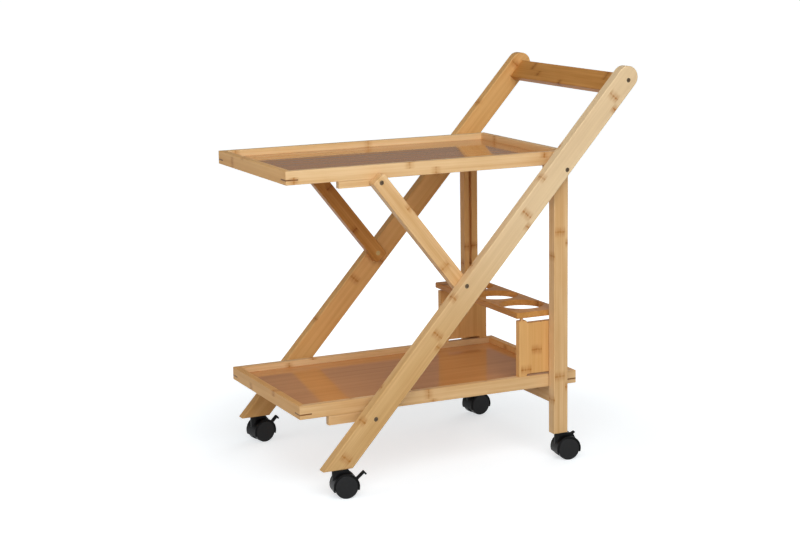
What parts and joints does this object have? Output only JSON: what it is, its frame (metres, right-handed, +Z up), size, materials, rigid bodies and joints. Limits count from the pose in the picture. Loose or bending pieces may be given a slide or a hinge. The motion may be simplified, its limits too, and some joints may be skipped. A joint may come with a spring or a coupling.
{
  "type": "folding serving cart",
  "caption": "Bamboo serving cart with trays in a folding slanted frame, a push handle, a bottle rack on the lower tray and swivel casters.",
  "frame": {"origin": "on the floor, below the centre of the cart's overall box", "axes": "+X along the cart towards the handle, +Y across it to the far side, +Z up"},
  "size_m": [0.649, 0.4302, 0.7],
  "materials": {
    "bamboo": "clear satin lacquer",
    "tray_panel": "glossy lacquer",
    "caster_plastic": "satin black",
    "caster_wheel": "satin black",
    "steel": "plain",
    "dark_steel": "dark zinc",
    "brass": "plain",
    "spacer_plastic": "plain"
  },
  "bodies": {
    "main_frame": {"diagonal_leg_near": "bamboo", "diagonal_leg_far": "bamboo", "handle_bar": "bamboo", "handle_screws": "dark_steel", "handle_dowels": "bamboo", "rear_leg_pivot_bolts": "dark_steel", "strut_pivot_bolts": "dark_steel", "strut_pivot_nuts": "brass", "lower_tray_pivot_bolts": "dark_steel", "lower_pivot_spacers": "spacer_plastic", "pivot_washers": "spacer_plastic", "caster_front_near_stem": "steel", "caster_front_far_stem": "steel"},
    "rear_frame": {"rear_leg_near": "bamboo", "rear_leg_far": "bamboo", "rear_cross_rail": "bamboo", "rail_dowels": "bamboo", "caster_rear_near_stem": "steel", "caster_rear_far_stem": "steel"},
    "upper_tray": {"upper_corner_splines": "bamboo", "upper_front_block_far": "bamboo", "upper_front_block_near": "bamboo", "upper_panel": "tray_panel", "upper_rear_pivot_blocks": "bamboo", "upper_rim_far": "bamboo", "upper_rim_front": "bamboo", "upper_rim_near": "bamboo", "upper_rim_rear": "bamboo"},
    "lower_tray": {"lower_corner_splines": "bamboo", "lower_panel": "tray_panel", "lower_pivot_block_far": "bamboo", "lower_pivot_block_near": "bamboo", "lower_rim_far": "bamboo", "lower_rim_front": "bamboo", "lower_rim_near": "bamboo", "lower_rim_rear": "bamboo"},
    "strut_near": {"strut_near": "bamboo", "strut_top_bolt_near": "dark_steel"},
    "strut_far": {"strut_far": "bamboo", "strut_top_bolt_far": "dark_steel"},
    "bottle_rack": {"rack_board_near": "bamboo", "rack_board_far": "bamboo", "bottle_plank": "bamboo", "rack_dowels": "bamboo"},
    "caster_front_near_swivel": {"caster_front_near_hood": "caster_plastic"},
    "caster_front_near_roller": {"caster_front_near_wheels": "caster_wheel", "caster_front_near_axle": "steel"},
    "caster_front_near_lever": {"caster_front_near_brake": "caster_plastic"},
    "caster_front_far_swivel": {"caster_front_far_hood": "caster_plastic"},
    "caster_front_far_roller": {"caster_front_far_wheels": "caster_wheel", "caster_front_far_axle": "steel"},
    "caster_front_far_lever": {"caster_front_far_brake": "caster_plastic"},
    "caster_rear_near_swivel": {"caster_rear_near_hood": "caster_plastic"},
    "caster_rear_near_roller": {"caster_rear_near_wheels": "caster_wheel", "caster_rear_near_axle": "steel"},
    "caster_rear_near_lever": {"caster_rear_near_brake": "caster_plastic"},
    "caster_rear_far_swivel": {"caster_rear_far_hood": "caster_plastic"},
    "caster_rear_far_roller": {"caster_rear_far_wheels": "caster_wheel", "caster_rear_far_axle": "steel"},
    "caster_rear_far_lever": {"caster_rear_far_brake": "caster_plastic"}
  },
  "joints": [
    {"name": "lower_tray_fold", "type": "hinge", "parent": "main_frame", "child": "lower_tray", "pos_m": [-0.18863, 0, 0.1285], "axis": [0, -1, 0], "range_deg": [0, 40]},
    {"name": "rear_frame_fold", "type": "hinge", "parent": "main_frame", "child": "rear_frame", "pos_m": [0.18247, 0, 0.526], "axis": [0, 1, 0], "range_deg": [0, 35]},
    {"name": "upper_tray_fold", "type": "hinge", "parent": "main_frame", "child": "upper_tray", "pos_m": [0.18247, 0, 0.526], "axis": [0, 1, 0], "range_deg": [-40, 0]},
    {"name": "strut_near_fold", "type": "hinge", "parent": "main_frame", "child": "strut_near", "pos_m": [-0.01455, 0, 0.34], "axis": [0, 1, 0], "range_deg": [-88.5, 0]},
    {"name": "strut_far_fold", "type": "hinge", "parent": "main_frame", "child": "strut_far", "pos_m": [-0.01455, 0, 0.34], "axis": [0, 1, 0], "range_deg": [-88.5, 0]},
    {"name": "bottle_rack_lift", "type": "slide", "parent": "lower_tray", "child": "bottle_rack", "axis": [0, 0, -1], "range_m": [-0.1, 0]},
    {"name": "caster_front_near_turn", "type": "hinge", "parent": "main_frame", "child": "caster_front_near_swivel", "pos_m": [-0.25971, -0.1925, 0.049], "axis": [0, 0, 1], "continuous": true},
    {"name": "caster_front_near_roll", "type": "hinge", "parent": "caster_front_near_swivel", "child": "caster_front_near_roller", "pos_m": [-0.24543, -0.19502, 0.02], "axis": [0.1736, 0.9848, 0], "continuous": true},
    {"name": "caster_front_near_brake", "type": "hinge", "parent": "caster_front_near_swivel", "child": "caster_front_near_lever", "pos_m": [-0.22626, -0.1984, 0.02787], "axis": [0.1736, 0.9848, 0], "range_deg": [-74, 0]},
    {"name": "caster_front_far_turn", "type": "hinge", "parent": "main_frame", "child": "caster_front_far_swivel", "pos_m": [-0.25971, 0.1925, 0.049], "axis": [0, 0, 1], "continuous": true},
    {"name": "caster_front_far_roll", "type": "hinge", "parent": "caster_front_far_swivel", "child": "caster_front_far_roller", "pos_m": [-0.24543, 0.19502, 0.02], "axis": [-0.1736, 0.9848, 0], "continuous": true},
    {"name": "caster_front_far_brake", "type": "hinge", "parent": "caster_front_far_swivel", "child": "caster_front_far_lever", "pos_m": [-0.22626, 0.1984, 0.02787], "axis": [-0.1736, 0.9848, 0], "range_deg": [-74, 0]},
    {"name": "caster_rear_near_turn", "type": "hinge", "parent": "rear_frame", "child": "caster_rear_near_swivel", "pos_m": [0.18247, -0.1715, 0.049], "axis": [0, 0, 1], "continuous": true},
    {"name": "caster_rear_near_roll", "type": "hinge", "parent": "caster_rear_near_swivel", "child": "caster_rear_near_roller", "pos_m": [0.19686, -0.17327, 0.02], "axis": [0.1219, 0.9925, 0], "continuous": true},
    {"name": "caster_rear_near_brake", "type": "hinge", "parent": "caster_rear_near_swivel", "child": "caster_rear_near_lever", "pos_m": [0.21619, -0.17564, 0.02787], "axis": [0.1219, 0.9925, 0], "range_deg": [0, 74]},
    {"name": "caster_rear_far_turn", "type": "hinge", "parent": "rear_frame", "child": "caster_rear_far_swivel", "pos_m": [0.18247, 0.1715, 0.049], "axis": [0, 0, 1], "continuous": true},
    {"name": "caster_rear_far_roll", "type": "hinge", "parent": "caster_rear_far_swivel", "child": "caster_rear_far_roller", "pos_m": [0.19686, 0.17327, 0.02], "axis": [-0.1219, 0.9925, 0], "continuous": true},
    {"name": "caster_rear_far_brake", "type": "hinge", "parent": "caster_rear_far_swivel", "child": "caster_rear_far_lever", "pos_m": [0.21619, 0.17564, 0.02787], "axis": [-0.1219, 0.9925, 0], "range_deg": [0, 74]}
  ],
  "couplings": [
    {"joint": "rear_frame_fold", "follows": "lower_tray_fold", "ratio": 0.8636},
    {"joint": "strut_near_fold", "follows": "upper_tray_fold", "ratio": 2.19},
    {"joint": "strut_far_fold", "follows": "upper_tray_fold", "ratio": 2.19}
  ]
}
